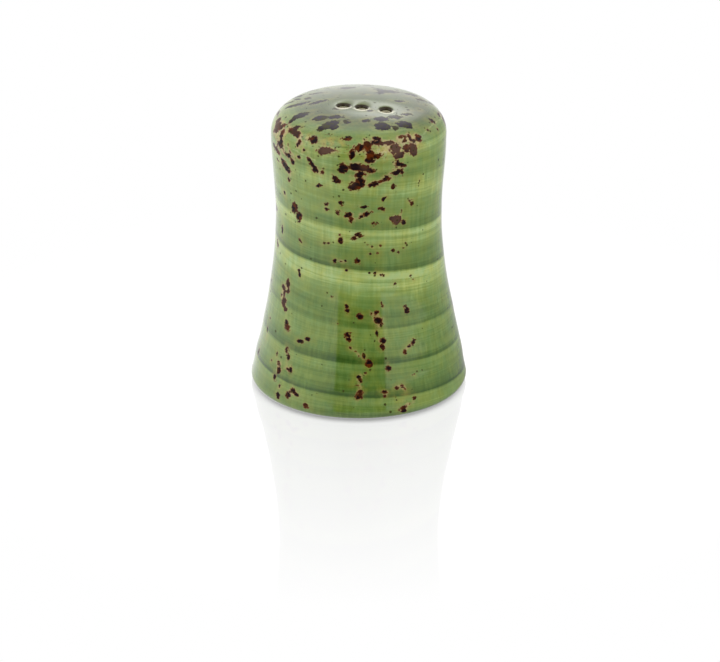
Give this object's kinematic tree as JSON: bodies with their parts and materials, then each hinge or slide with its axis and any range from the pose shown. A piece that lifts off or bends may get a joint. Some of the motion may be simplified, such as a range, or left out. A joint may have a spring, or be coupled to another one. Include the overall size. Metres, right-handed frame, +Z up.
{
  "type": "pepper shaker",
  "caption": "Waisted glazed porcelain shaker on a wide foot, with pour holes in its domed top and a soft stopper that pulls out of its recessed base.",
  "frame": {"origin": "centre of the foot ring, on the plane that the shaker stands on", "axes": "+Z up along the axis of the body, +X along the row of pour holes, to the right as the row is seen from the side it lies nearest to, -Y towards that side"},
  "size_m": [0.056, 0.056, 0.0764],
  "materials": {
    "green_glaze": "glossy green glaze brushed in a spiral, with dark reactive flakes",
    "stopper_silicone": "soft satin silicone"
  },
  "bodies": {
    "shaker": {"shaker_body": "green_glaze"},
    "stopper": {"base_stopper": "stopper_silicone"}
  },
  "joints": [
    {"name": "stopper_pull", "type": "slide", "parent": "shaker", "child": "stopper", "axis": [0, 0, -1], "range_m": [0, 0.03]}
  ]
}
